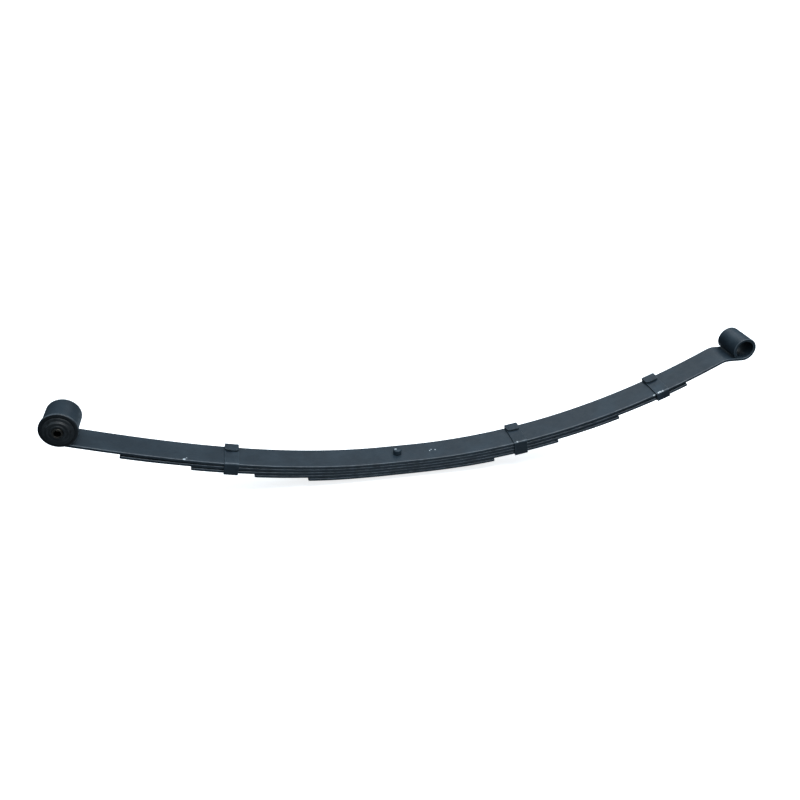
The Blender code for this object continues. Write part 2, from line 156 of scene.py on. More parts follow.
class LeafSizes(bpy.types.PropertyGroup):
    """The five leaves and the line that they follow."""

    width: length("Width", width_of("fifth_leaf", 1), "Width of every leaf")
    thickness: length("Thickness", 0.00635, "Thickness of every leaf")
    edge: length("Edge radius", 0.0019, "Rounding of the rolled bar's long edges")
    corner: length("Tip corner", 0.0030, "Rounding of a tip's corners, seen from above")
    touch_gap: length("Touching gap", 0.0003, "Gap between pieces that touch")
    seat: length("Seat length", 0.060, "Length of the flat at the centre bolt")
    front: length("Front length", 0.664, "Main leaf from the bolt to the front eye")
    front_bow: length("Front radius at the seat", 1.200, "Radius of the arch ahead of the seat")
    front_end_bow: length("Front radius at the eye", 8.300, "Radius of the arch at the front eye")
    rear: length("Rear length", 0.724, "Main leaf from the bolt to the reverse bend")
    rear_bow: length("Rear radius at the seat", 1.297, "Radius of the arch behind the seat")
    rear_end_bow: length("Rear radius at the bend", 1.511, "Radius of the arch at the bend")
    bend: length("Bend radius", 0.040, "Radius of the reverse bend before the rear eye")
    neck: length("Neck length", 0.031, "Straight stretch between the bend and the rear eye")
    front_bore: length("Front eye bore", 0.0527, "Bore of the front eye")
    rear_bore: length("Rear eye bore", 0.0381, "Bore of the rear eye")
    eye_gap: length("Eye gap", 0.0012, "Gap between the rolled end and the leaf")
    liner: length("Liner length", 0.050, "Length of a tip liner")
    liner_inset: length("Liner inset", 0.004, "Distance from a leaf's end to its liner")
    button: length("Button radius", 0.0055, "Radius of a tip liner's button")
    row: length("Row spacing", 0.003, "Spacing of the rows along a leaf")


class ClipSizes(bpy.types.PropertyGroup):
    """The three clips and their rivets."""

    width: length("Width", 0.028, "Width of the strap")
    thickness: length("Thickness", 0.0026, "Thickness of the strap")
    edge: length("Edge radius", 0.0007, "Rounding of the strap's edges")
    bend: length("Bend radius", 0.0012, "Inner radius of the folds")
    tab: length("Tab length", 0.025, "Length of the end folded back over the band")
    corner: length("Tab corner", 0.0080, "Rounding of the tab's corners, seen from above")
    tab_gap: length("Tab gap", 0.0012, "Gap between the tab and the band under it")
    setback: length("Band setback", 0.003, "Distance from the leaf's far edge to the band's end")
    clearance: length("Clearance", 0.0006, "Gap between the strap and the leaves")
    step: length("Line step", 0.0004, "Spacing of the places on the strap's middle line")
    row: length("Row spacing", 0.0009, "Spacing of the rows along the strap")
    rivet: length("Rivet radius", 0.0040, "Radius of the rivet's shank")
    head: length("Rivet head radius", 0.0072, "Radius of the rivet's round head")
    head_height: length("Rivet head height", 0.0040, "Height of the rivet's round head")
    sink: length("Rivet sink radius", 0.0066, "Radius of the rivet's sunk end")
    sink_depth: length("Rivet sink depth", 0.0030, "Depth of the rivet's sunk end")
    sink_land: length("Rivet sink land", 0.0004, "Straight rim of the rivet's sunk end")


class BoltSizes(bpy.types.PropertyGroup):
    """The centre bolt and its nut."""

    radius: length("Radius", 0.00476, "Radius over the thread")
    head: length("Head radius", width_of("centre_bolt", 0) / 2, "Radius of the round head")
    head_height: length("Head height", 0.0105, "Height of the round head")
    head_edge: length("Head edge", 0.0014, "Rounding of the head's top edge")
    base_edge: length("Head base edge", 0.0004, "Rounding of the head's lower edge")
    pitch: length("Thread pitch", 0.00106, "Distance from one thread to the next")
    thread_depth: length("Thread depth", 0.00055, "Depth of the thread")
    tip: length("Tip length", 0.0007, "Length of the chamfer at the thread's end")
    nut_chamfer: length("Nut chamfer", 0.0006, "Chamfer at both ends of the nut's bore")
    nut: length("Nut across flats", width_of("centre_bolt_nut", 0), "Width across the flats")
    clearance: length("Hole clearance", 0.00035, "Gap between a shank and its hole")


class BushingSizes(bpy.types.PropertyGroup):
    """The bushing in the front eye."""

    wall: length("Shell wall", 0.0025, "Wall of the outer shell")
    overhang: length("Flange overhang", 0.0026, "How far the flange stands past the eye")
    flange: length("Flange thickness", 0.0050, "Thickness of the flange")
    flange_edge: length("Flange edge", 0.0016, "Rounding of the flange's rim")
    flange_back: length("Flange back edge", 0.0007, "Rounding of the flange's rim at the eye")
    shell_edge: length("Shell edge", 0.0006, "Rounding of the shell's inner edges")
    lip_overlap: length("Lip overlap", 0.0046, "How far the rubber lip lies over the flange")
    lip: length("Lip height", 0.0022, "Height of the rubber lip")
    boss_inset: length("Boss inset", 0.0011, "Step from the rubber's body in to its boss")
    boss: length("Boss height", 0.0078, "Height of the rubber boss")
    boss_edge: length("Boss edge", 0.0022, "Rounding of the rubber boss")
    sleeve_bore: length("Sleeve bore", 0.0132, "Bore of the inner sleeve")
    sleeve_wall: length("Sleeve wall", 0.0034, "Wall of the inner sleeve")
    sleeve_edge: length("Sleeve edge", 0.0007, "Rounding of the sleeve's outer edges")
    mouth_edge: length("Bore edge", 0.0005, "Rounding of the sleeve's bore at both ends")
    tooth: length("Tooth depth", 0.00035, "Depth of the teeth pressed into the sleeve's ends")
    tooth_inset: length("Tooth inset", 0.0011, "Distance of the teeth from the bore and the rim")
    teeth: IntProperty(name="Teeth", description="Teeth on each end of the sleeve", default=34)


class Finishes(bpy.types.PropertyGroup):
    """Colours of the finishes."""

    enamel: colour("Enamel", "#16222b", "Black chassis enamel on the leaves and clips")
    enamel_haze: colour("Enamel haze", "#2c3a44", "Dusty, thinner patches of the enamel")
    # Worn edge colour, also used for the painted highlights along the clips' folds
    worn_edge_and_highlight: colour("Worn edge", "#7b8791", "Steel and primer where an edge has rubbed")
    # Chip colour, also used for the painted highlights on the clips' folds and the bolt's cap
    chip_and_highlight: colour("Chip", "#b4bcc1", "Pale primer in a chip of the enamel")
    shell: colour("Shell", "#050709", "Black enamel on the bushing's shell")
    rubber: colour("Rubber", "#1b1e20", "Moulded rubber of the bushing")
    sleeve: colour("Sleeve", "#55524d", "Oiled steel of the inner sleeve")
    liner: colour("Liner", "#101112", "Moulded plastic of the tip liners")
    floor: colour("Floor", "#f2f3f4", "Pale studio floor")


class StageSettings(bpy.types.PropertyGroup):
    """Camera and lights of the studio."""

    camera: place("Camera place", (-0.28168, -1.33274, 0.88904), "Where the camera stands")
    turn: FloatVectorProperty(
        name="Camera turn",
        description="How the camera is turned",
        default=[math.radians(a) for a in (60.5095, -0.9706, -11.5345)],
        subtype="EULER",
        unit="ROTATION",
    )
    lens: FloatProperty(
        name="Lens", description="Focal length on a 36 mm sensor", default=34.73, unit="CAMERA"
    )
    floor: length("Floor size", 60.0, "Width of the floor")
    floor_light: number("Floor light", 0.80, "Light that the floor itself adds, to keep it pale")
    top_power: power("Top light", 44.0, "Power of the softbox overhead")
    top_place: place("Top light place", (0.50, -0.45, 2.2), "Middle of the softbox overhead")
    top_width: length("Top light width", 1.4, "Width of the softbox overhead")
    back_power: power("Back light", 5.0, "Power of the softbox behind")
    back_place: place("Back light place", (0.95, 2.0, 2.1), "Middle of the softbox behind")
    back_width: length("Back light width", 1.3, "Width of the softbox behind")
    ceiling: number("Ceiling light", 0.85, "Brightness of the room overhead")
    horizon: number("Horizon light", 0.14, "Brightness of the room at floor level")
    bounce: number("Bounce light", 0.62, "Brightness that comes up from the floor in front")


# ---- Lines that pieces follow


def follow(stretches, spacing):
    """Rows of distance, x, z and heading along a line.

    A stretch is its length and its curvature at each end. Curvature runs evenly between them,
    heading is its running sum, and the place is the running sum of the chords.
    """
    pieces = [max(1, math.ceil(s[0] / spacing)) for s in stretches]
    run = np.concatenate([np.full(n, s[0] / n) for s, n in zip(stretches, pieces)])
    bend = run * np.concatenate(
        [
            first + (last - first) * (np.arange(n) + 0.5) / n
            for (_, first, last), n in zip(stretches, pieces)
        ]
    )
    heading = np.concatenate([[0.0], np.cumsum(bend)])
    along = heading[:-1] + bend / 2
    chord = run * np.sinc(bend / TURN)
    steps = np.stack([run, chord * np.cos(along), chord * np.sin(along)], axis=1)
    places = np.vstack([np.zeros(3), np.cumsum(steps, axis=0)])
    return np.column_stack([places, heading])


def halves(sizes, rolled):
    """Stretches of the main leaf ahead of and behind the bolt, with or without the eyes."""
    seat = (sizes.seat / 2, 0.0, 0.0)
    turn = (sizes.rear - sizes.seat / 2) * (1 / sizes.rear_bow + 1 / sizes.rear_end_bow) / 2
    front = [seat, (sizes.front - sizes.seat / 2, 1 / sizes.front_bow, 1 / sizes.front_end_bow)]
    rear = [
        seat,
        (sizes.rear - sizes.seat / 2, 1 / sizes.rear_bow, 1 / sizes.rear_end_bow),
        (sizes.bend * turn, -1 / sizes.bend, -1 / sizes.bend),
        (sizes.neck, 0.0, 0.0),
    ]
    if rolled:
        for half, bore in ((front, sizes.front_bore), (rear, sizes.rear_bore)):
            inner = bore / 2
            below = math.asin((inner - sizes.eye_gap) / (inner + sizes.thickness))
            half.append((inner * (1.5 * math.pi + below), 1 / inner, 1 / inner))
    return front, rear


def top_line(sizes, rolled=False):
    """The main leaf's top line from end to end; the front half is the line turned round."""
    front, rear = (follow(half, sizes.row) for half in halves(sizes, rolled))
    return np.vstack([front[:0:-1] * np.array([-1.0, -1.0, 1.0, -1.0]), rear])


def at(line, places):
    """Rows of a line at the given distances, read between its own rows."""
    read = [np.interp(places, line[:, 0], line[:, i]) for i in (1, 2, 3)]
    return np.column_stack([places, *read])


def seat_height():
    """Height of the main leaf's top face at the centre bolt."""
    scene = bpy.context.scene
    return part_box("centre_bolt")[1].z - scene.spring_bolt.head_height - scene.spring_leaf.touch_gap


def top_place(line, distance):
    """Place and heading of the main leaf's top line at a distance from the bolt."""
    _, x, z, heading = at(line, np.array([distance]))[0]
    return (x, 0, z + seat_height()), heading


def top_depth(sizes, leaf, distance):
    """Depth of a leaf's top below the main leaf's top line.

    Each gap is closed along the seat and opens as a parabola to the tip liners.
    """
    depth = np.zeros_like(distance)
    for name in LEAVES:
        front, rear, tip_gap = REACH[name]
        reach = np.where(distance < 0, front, rear) - sizes.liner_inset - sizes.liner
        share = (np.abs(distance) - sizes.seat / 2) / (reach - sizes.seat / 2)
        opened = sizes.touch_gap + (tip_gap - sizes.touch_gap) * np.clip(share, 0, 1) ** 2
        depth = depth + sizes.thickness + opened
        if name == leaf:
            break
    return depth


# ---- Surfaces


def grid_faces(rows, columns, closed):
    """Quads of a grid whose columns join round; a closed grid's rows join round as well."""
    first = np.arange(rows if closed else rows - 1)[:, None]
    column = np.arange(columns)[None, :]
    nearer, farther = first * columns, (first + 1) % rows * columns
    beside = (column + 1) % columns
    quads = np.stack([nearer + column, nearer + beside, farther + beside, farther + column], -1)
    return quads.reshape(-1, 4).tolist()


def make_piece(name, points, edge=None, measure=None, closed=False):
    """A piece from a grid of points: rows along it, and columns round it.

    Open ends are closed by one flat face each. The edge attribute is 1 on rounded edges, and
    the UV map holds metres along and round the piece.
    """
    rows, columns = points.shape[:2]
    faces = grid_faces(rows, columns, closed)
    if not closed:
        faces += [list(range(columns)), list(range((rows - 1) * columns, rows * columns))]
    mesh = bpy.data.meshes.new(name)
    mesh.from_pydata(points.reshape(-1, 3).tolist(), [], faces)
    if edge is not None:
        mesh.attributes.new("edge", "FLOAT", "POINT").data.foreach_set(
            "value", np.broadcast_to(edge, (rows, columns)).astype(np.float32).ravel()
        )
    if measure is not None:
        corners = np.empty(len(mesh.loops), int)
        mesh.loops.foreach_get("vertex_index", corners)
        uv = measure.reshape(-1, 2)[corners]
        mesh.uv_layers.new(name="metres").data.foreach_set("uv", uv.astype(np.float32).ravel())
    tidy = bmesh.new()
    tidy.from_mesh(mesh)
    bmesh.ops.remove_doubles(tidy, verts=tidy.verts, dist=SAME_POINT)
    bmesh.ops.recalc_face_normals(tidy, faces=tidy.faces)
    tidy.to_mesh(mesh)
    tidy.free()
    mesh.shade_smooth()
    mesh.set_sharp_from_angle(angle=CRISP_ANGLE)
    piece = bpy.data.objects.new(name, mesh)
    bpy.context.scene.collection.objects.link(piece)
    return piece


def section():
    """A rounded rectangle as shares: across, up, and the outward direction at each point.

    Flats carry a point close to each corner so that their shading stays flat.
    """
    flat = np.array([-0.96, -0.5, 0.0, 0.5, 0.96])
    side = np.array([-0.6, 0.6])
    arc = np.linspace(0, QUARTER, 6)
    cos, sin = np.cos(arc), np.sin(arc)
    one, none = np.ones_like(arc), np.zeros_like(flat)
    across = np.concatenate([flat, one, 1 + 0 * side, one, -flat, -one, -1 + 0 * side, -one])
    up = np.concatenate([1 + none, one, -side, -one, -1 + none, -one, side, one])
    out = np.concatenate([none, sin, 1 + 0 * side, cos, none, -sin, -1 + 0 * side, -cos])
    rise = np.concatenate([1 + none, cos, 0 * side, -sin, -1 + none, -cos, 0 * side, sin])
    return across, up, out, rise


def end_inset(distance, radius):
    """How far an outline draws in near an end, for a quarter circle of the radius."""
    return radius - np.sqrt(np.maximum(radius**2 - np.maximum(radius - distance, 0) ** 2, 0))


def strip_places(start, stop, spacing, edge, corner):
    """Distances along a strip: even steps, with close ones where its ends are rounded."""
    arc = 1 - np.cos(np.linspace(0, QUARTER, 7))
    ends = np.concatenate([edge * arc, corner * arc])
    even = np.linspace(start, stop, max(2, math.ceil((stop - start) / spacing)) + 1)
    margin = 1.2 * max(edge, corner)
    inner = even[(even > start + margin) & (even < stop - margin)]
    return np.unique(np.concatenate([start + ends, inner, stop - ends]).round(7))


def sweep(rows, half_width, upper, lower, edge, corners, height):
    """A strip with rounded edges carried along a line.

    At each row the section's points lie across the line and between two depths below it. The
    outline draws in at both ends, and its plan corners are quarter circles. Returns points
    (along, across, height), the edge attribute and metres along and round.
    """
    across, up, out, rise = section()
    from_start, from_end = rows[:, 0] - rows[0, 0], rows[-1, 0] - rows[:, 0]
    nearest = np.minimum(from_start, from_end)
    inset = end_inset(nearest, edge)
    plan = end_inset(from_start, corners[0]) + end_inset(from_end, corners[1])
    sharpest = 0.15 * edge
    radius = np.maximum(edge - inset, sharpest)
    half = half_width - np.maximum(inset, plan) - radius
    level, tall = (upper + lower) / 2, (lower - upper) / 2 - inset - radius
    side = across * half[:, None] + out * radius[:, None]
    depth = level[:, None] - (up * tall[:, None] + rise * radius[:, None])
    sin, cos = np.sin(rows[:, 3])[:, None], np.cos(rows[:, 3])[:, None]
    points = np.stack(
        [rows[:, 1:2] + sin * depth, side, height + rows[:, 2:3] - cos * depth], axis=-1
    )
    steps = np.linalg.norm(np.diff(points, axis=1, prepend=points[:, :1]), axis=-1)
    measure = np.stack([rows[:, :1] + 0 * side, np.cumsum(steps, axis=1)], axis=-1)
    return points, np.abs(out * rise) * 2, measure


def fillet(corners, steps=6):
    """An outline with each corner rounded by its radius; a corner is its two places and radius.

    A round corner is an arc between the two points where it meets the sides.
    """
    spots = np.array([c[:2] for c in corners], float)
    radii = np.array([c[2] for c in corners], float)
    back = np.roll(spots, 1, axis=0) - spots
    ahead = np.roll(spots, -1, axis=0) - spots
    back /= np.linalg.norm(back, axis=1, keepdims=True)
    ahead /= np.linalg.norm(ahead, axis=1, keepdims=True)
    half = np.arccos(np.clip((back * ahead).sum(1), -1, 1)) / 2
    reach = radii / np.tan(half)
    centre_way = back + ahead
    centre_way /= np.maximum(np.linalg.norm(centre_way, axis=1, keepdims=True), 1e-9)
    centre = spots + centre_way * (radii / np.sin(half))[:, None]
    start, stop = spots + back * reach[:, None], spots + ahead * reach[:, None]
    outline = []
    for i, radius in enumerate(radii):
        if radius == 0:
            outline.append(spots[i : i + 1])
            continue
        first, last = start[i] - centre[i], stop[i] - centre[i]
        angle = math.atan2(first[0] * last[1] - first[1] * last[0], float(first @ last))
        turn = angle * np.linspace(0, 1, steps)
        sideways = np.array([-first[1], first[0]])
        arc = np.cos(turn)[:, None] * first + np.sin(turn)[:, None] * sideways
        outline.append(centre[i] + arc)
    return np.vstack(outline)


def around(radius, height, sides):
    """Points from the radius and height of each row at each angle round the Z axis."""
    angle = np.arange(sides) * TURN / sides
    return np.stack([radius * np.cos(angle), radius * np.sin(angle), height + 0 * angle], axis=-1)


def turned(profile, sides):
    """Points of a profile of radius and height carried round the Z axis."""
    return around(profile[:, 0:1], profile[:, 1:2], sides)


def plug(radius, reach, sides):
    """Points of a round plug on the Z axis that reaches as far up as down."""
    return turned(np.array([(0, reach), (radius, reach), (radius, -reach), (0, -reach)]), sides)


def placed(points, spot, turn):
    """Points tipped nose-up by turn in the X-Z plane and moved to a spot."""
    cos, sin = math.cos(turn), math.sin(turn)
    x, y, z = points[..., 0], points[..., 1], points[..., 2]
    tipped = np.stack([x * cos - z * sin, y, x * sin + z * cos], axis=-1)
    return tipped + np.array(spot)


def facing_near(points, spot):
    """Points turned so that their Z runs towards the near side, and moved to a spot."""
    x, y, z = points[..., 0], points[..., 1], points[..., 2]
    return np.stack([x, -z, y], axis=-1) + np.array(spot)


def cut(piece, cutters):
    """Take the cutters out of a piece, all of them closed, and keep the new rims crisp."""
    for cutter in cutters:
        boolean = piece.modifiers.new(cutter.name, "BOOLEAN")
        boolean.operation = "DIFFERENCE"
        boolean.solver = "MANIFOLD"
        boolean.object = cutter
    evaluated = piece.evaluated_get(bpy.context.evaluated_depsgraph_get())
    mesh = bpy.data.meshes.new_from_object(evaluated)
    mesh.set_sharp_from_angle(angle=CRISP_ANGLE)
    piece.modifiers.clear()
    piece.data = mesh
    for cutter in cutters:
        bpy.data.objects.remove(cutter)


def stand_in(piece, node, finish, body="spring"):
    """Give a piece its finish, and let it stand for a frame node on its body."""
    piece.data.materials.clear()
    piece.data.materials.append(finish)
    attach(piece, body)
    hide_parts(node)


# ---- Finishes


def grain(millimetres):
    """Scale of a noise whose grain is about this size."""
    return 1000 / millimetres


def add(tree, kind, *inputs, output=None, **settings):
    """Add a node with its settings and links, and give back its named or first output.

    Inputs run in the order of the node's own sockets. Each is a value, another node's output, or
    None to leave a socket as it is.
    """
    made = tree.nodes.new(f"ShaderNode{kind}")
    for key, value in settings.items():
        setattr(made, key, value)
    for socket, value in zip([socket for socket in made.inputs if socket.enabled], inputs):
        if isinstance(value, bpy.types.NodeSocket):
            tree.links.new(value, socket)
        elif value is not None:
            socket.default_value = value
    if output:
        return made.outputs[output]
    return next(socket for socket in made.outputs if socket.enabled)


def start_material(name):
    """A material with its node tree, its shader and the place on the piece, in metres."""
    made = bpy.data.materials.new(name)
    made.use_nodes = True
    tree = made.node_tree
    return made, tree, tree.nodes["Principled BSDF"], add(tree, "TexCoord", output="Object")


def rgba(values):
    """A colour property as four numbers."""
    return (*values, 1.0)


def connect(tree, shader, base, roughness, *heights):
    """Lead a colour, a roughness and bumps to the shader.

    The bumps are laid one on the other: each is a height, a strength and a depth in metres.
    """
    normal = None
    for height, strength, depth in heights:
        normal = add(tree, "Bump", strength, depth, None, height, normal)
    for name, value in (("Base Color", base), ("Roughness", roughness), ("Normal", normal)):
        tree.links.new(value, shader.inputs[name])


def enamel(name, colours, body=None, wear_and_highlight=1.0, chips_and_highlights=(), lines=0.0, dusty=0.42):
    """Black chassis enamel sprayed over rolled steel.

    It gives an even semi-gloss with orange peel of 2 to 3 mm, the steel's shallow pits under it,
    dusty patches a few centimetres wide, and rubbed edges, which on a clip's folds are painted
    highlights as well. Pale spots are chips, and painted highlights on the clips and the bolt's
    cap. Lines are drawn along a strap.
    """
    made, tree, shader, place = start_material(name)
    patches = add(tree, "TexNoise", place, grain(55), 3.0, 0.6)
    patches = add(tree, "MapRange", patches, 0.42, 0.66)
    patches = add(tree, "Math", patches, dusty, operation="MULTIPLY")
    specks = add(tree, "TexNoise", place, grain(1.6), 1.0)
    specks = add(tree, "MapRange", specks, 0.70, 0.78)
    haze = add(tree, "Math", patches, specks, operation="MAXIMUM")
    coat = rgba(body or colours.enamel)
    base = add(tree, "Mix", haze, coat, rgba(colours.enamel_haze), data_type="RGBA")
    # Lighter edges: rubbed paint, and along the clips' folds painted highlights as well
    edge = add(tree, "Attribute", output="Fac", attribute_name="edge")
    rubbed_and_highlight = add(tree, "TexNoise", place, grain(14), 3.0, 0.6)
    rubbed_and_highlight = add(tree, "MapRange", rubbed_and_highlight, 0.36, 0.64, 0.25, 1.0)
    rubbed_and_highlight = add(tree, "Math", edge, rubbed_and_highlight, operation="MULTIPLY")
    rubbed_and_highlight = add(tree, "Math", rubbed_and_highlight, 0.38 * wear_and_highlight, operation="MULTIPLY")
    base = add(tree, "Mix", rubbed_and_highlight, base, rgba(colours.worn_edge_and_highlight), data_type="RGBA")
    ragged = add(tree, "TexNoise", place, grain(2.5), 3.0, 0.7)
    # Pale spots: chips in the enamel, and on the clips and the bolt's cap painted highlights
    for spot, radius in chips_and_highlights:
        apart = add(tree, "VectorMath", place, spot, operation="DISTANCE")
        reach = add(tree, "Math", ragged, radius * 2, operation="MULTIPLY")
        inside = add(tree, "Math", reach, apart, operation="SUBTRACT")
        chip_and_highlight_mask = add(tree, "MapRange", inside, 0.0, radius * 0.25)
        base = add(tree, "Mix", chip_and_highlight_mask, base, rgba(colours.chip_and_highlight), data_type="RGBA")
    gloss = add(tree, "TexNoise", place, grain(12), 3.0, 0.6)
    gloss = add(tree, "MapRange", gloss, 0.3, 0.7, 0.33, 0.47)
    dull = add(tree, "Math", haze, 0.14, operation="MULTIPLY")
    roughness = add(tree, "Math", gloss, dull, operation="ADD")
    peel = add(tree, "TexNoise", place, grain(2.4), 1.5)
    pits = add(tree, "TexNoise", place, grain(0.9), 2.0, 0.6)
    pits = add(tree, "MapRange", pits, 0.30, 0.46)
    swells = add(tree, "TexNoise", place, grain(30))
    heights = [(swells, 0.5, 0.0012), (pits, 0.35, 0.00012), (peel, 0.30, 0.00045)]
    if lines:
        uv = add(tree, "UVMap", uv_map="metres")
        across = {"output": "Fac", "bands_direction": "Y"}
        drawn = add(tree, "TexWave", uv, WAVE_REPEAT / lines, 0.6, 1.0, **across)
        heights.append((drawn, 0.55, 0.00022))
    connect(tree, shader, base, roughness, *heights)
    return made


def moulded_rubber(colours):
    """Moulded natural rubber with a dull bloom: matt, a little grainy, greyer in patches."""
    made, tree, shader, place = start_material("moulded_rubber")
    bloom = add(tree, "TexNoise", place, grain(9), 4.0, 0.65)
    bloom = add(tree, "MapRange", bloom, 0.45, 0.72)
    share = add(tree, "Math", bloom, 0.6, operation="MULTIPLY")
    grey = [c * 2.6 + 0.012 for c in colours.rubber]
    base = add(tree, "Mix", share, rgba(colours.rubber), rgba(grey), data_type="RGBA")
    dull = add(tree, "MapRange", bloom, 0.0, 1.0, 0.48, 0.72)
    dents = add(tree, "TexNoise", place, grain(6))
    skin = add(tree, "TexNoise", place, grain(0.7))
    connect(tree, shader, base, dull, (dents, 0.4, 0.0004), (skin, 0.35, 0.00012))
    return made


def sleeve_steel(colours, pitch=0.0009):
    """Steel tube turned on a lathe: fine rings round its axis, with oil dulling it in patches."""
    made, tree, shader, place = start_material("oiled_sleeve_steel")
    centred = add(tree, "Mapping", place, -FRONT_EYE)
    round_axis = {"output": "Fac", "wave_type": "RINGS", "rings_direction": "Y"}
    rings = add(tree, "TexWave", centred, WAVE_REPEAT / pitch, 0.4, 1.0, **round_axis)
    oil = add(tree, "TexNoise", place, grain(7), 4.0, 0.6)
    oil = add(tree, "MapRange", oil, 0.4, 0.7)
    dark = [c * 0.45 for c in colours.sleeve]
    base = add(tree, "Mix", oil, rgba(colours.sleeve), rgba(dark), data_type="RGBA")
    dull = add(tree, "MapRange", oil, 0.0, 1.0, 0.34, 0.52)
    shader.inputs["Metallic"].default_value = 1.0
    fine = add(tree, "TexNoise", place, grain(1.2))
    connect(tree, shader, base, dull, (fine, 0.3, 0.00015), (rings, 0.35, 0.00008))
    return made


def liner_plastic(colours):
    """Moulded black plastic of the tip liners: matt with a fine spark-eroded grain."""
    made, tree, shader, place = start_material("moulded_liner_plastic")
    dust = add(tree, "TexNoise", place, grain(10), 3.0)
    dust = add(tree, "MapRange", dust, 0.45, 0.75)
    share = add(tree, "Math", dust, 0.5, operation="MULTIPLY")
    pale = [c * 3 + 0.01 for c in colours.liner]
    base = add(tree, "Mix", share, rgba(colours.liner), rgba(pale), data_type="RGBA")
    dull = add(tree, "MapRange", dust, 0.0, 1.0, 0.5, 0.68)
    eroded = add(tree, "TexNoise", place, grain(0.6), 1.0)
    connect(tree, shader, base, dull, (eroded, 0.3, 0.00008))
    return made


def studio_floor(colours, light):
    """A pale painted floor: matt, with a very slight unevenness and a light of its own."""
    made, tree, shader, place = start_material("pale_floor_paint")
    shade = add(tree, "TexNoise", place, grain(350))
    shade = add(tree, "Math", shade, 0.03, operation="MULTIPLY")
    darker = [c * 0.9 for c in colours.floor]
    base = add(tree, "Mix", shade, rgba(colours.floor), rgba(darker), data_type="RGBA")
    tree.links.new(base, shader.inputs["Base Color"])
    shader.inputs["Roughness"].default_value = 0.85
    shader.inputs["Specular IOR Level"].default_value = 0.2
    shader.inputs["Emission Color"].default_value = (1.0, 1.0, 1.0, 1.0)
    shader.inputs["Emission Strength"].default_value = light
    return made


# ---- Leaves


def drill(line, distance, radius, name):
    """A round cutter square to the leaves at a distance from the bolt."""
    through = plug(radius, 0.1, HOLE_SIDES)
    return make_piece(name, placed(through, *top_place(line, distance)))


def rivet_profile(clip, leaf, clearance):
    """Radius and height of a rivet below its leaf's top: sunk end, shank and round head."""
    grip = leaf.thickness + clip.clearance + clip.thickness + leaf.touch_gap
    shank, sink = clip.rivet + clearance, clip.sink + clearance
    head = clip.head + clearance
    dome = np.linspace(0, QUARTER, 9)
    low = -grip - clip.head_height * np.sin(dome)
    round_head = np.column_stack([head * np.cos(dome), low])
    round_head[-1, 0] = 0.0
    top = [(0, clearance), (sink, clearance), (sink, -clip.sink_land), (shank, -clip.sink_depth)]
    return np.vstack([top, [(shank, -grip)], round_head])


def rivet_points(name, clearance):
    """Points of a clip's rivet, or of its hole when given a clearance."""
    leaf, clip = bpy.context.scene.spring_leaf, bpy.context.scene.spring_clip
    node, distance = CLIPS[name]
    profile = rivet_profile(clip, leaf, clearance)
    profile[:, 1] -= float(top_depth(leaf, node, np.array(distance)))
    return placed(turned(profile, HOLE_SIDES), *top_place(top_line(leaf), distance))


# Distance from the bolt, place across and radius of each chip in the enamel
CHIPS = (
    (0.0700, -0.0018, 0.0018),
    (0.0735, 0.0012, 0.0015),
    (0.0817, -0.0008, 0.0019),
    (-0.4336, -0.0292, 0.0028),
    (-0.4290, -0.0240, 0.0014),
    (0.5665, -0.0310, 0.0024),
)
# Pale spots along the clips' near-top folds, listed the same way: painted highlights, with a chip
# among them
CLIP_CHIPS_AND_HIGHLIGHTS = (
    (0.5760, -0.0325, 0.0024),
    (0.5800, -0.0328, 0.0027),
    (0.5850, -0.0330, 0.0022),
    (0.2540, -0.0330, 0.0016),
)


def chip_and_highlight_spots(chips_and_highlights, lift=0.0):
    """Places and radii of chips and painted highlights at a height over the main leaf's top face."""
    rows = at(top_line(bpy.context.scene.spring_leaf), np.array([chip_and_highlight[0] for chip_and_highlight in chips_and_highlights]))
    rise = seat_height() + lift
    return [((x, across, z + rise), size) for (_, x, z, _), (_, across, size) in zip(rows, chips_and_highlights)]


def leaf_enamel():
    """The leaves' enamel, made once, with chips at their places on the main leaf's top."""
    name, colours = "black_chassis_enamel", bpy.context.scene.spring_finish
    return bpy.data.materials.get(name) or enamel(name, colours, chips_and_highlights=chip_and_highlight_spots(CHIPS))


def leaf_piece(name, rows, upper, corner):
    """A leaf carried along rows of its line, with its top at the given depths below them."""
    leaf = bpy.context.scene.spring_leaf
    lower, corners = upper + leaf.thickness, (corner, corner)
    swept = sweep(rows, leaf.width / 2, upper, lower, leaf.edge, corners, seat_height())
    return make_piece(f"{name}_surface", *swept)


class SPRING_OT_main_leaf(bpy.types.Operator):
    """Build the main leaf with both rolled eyes"""

    bl_idname = "spring.main_leaf"
    bl_label = "Main Leaf"

    def execute(self, context):
        scene = context.scene
        leaf, bolt, bush = scene.spring_leaf, scene.spring_bolt, scene.spring_bushing
        line = top_line(leaf, rolled=True)
        places = strip_places(line[0, 0], line[-1, 0], leaf.row, leaf.edge, leaf.edge)
        piece = leaf_piece("main_leaf", at(line, places), np.zeros(len(places)), leaf.edge)
        depth = bush.flange + leaf.touch_gap
        radius = leaf.front_bore / 2 + leaf.thickness + bush.overhang + bolt.clearance
        near_side = (FRONT_EYE.x, -leaf.width / 2, FRONT_EYE.z)
        sunk = facing_near(plug(radius, depth, SPOT_FACE_SIDES), near_side)
        # The near side is faced back round the eye, and the flange sits within the width
        spot_face = make_piece("spot_face", sunk)
        hole = drill(top_line(leaf), 0.0, bolt.radius + bolt.clearance, "main_bolt_hole")
        cut(piece, [spot_face, hole])
        stand_in(piece, "main_leaf", leaf_enamel())
        return {"FINISHED"}


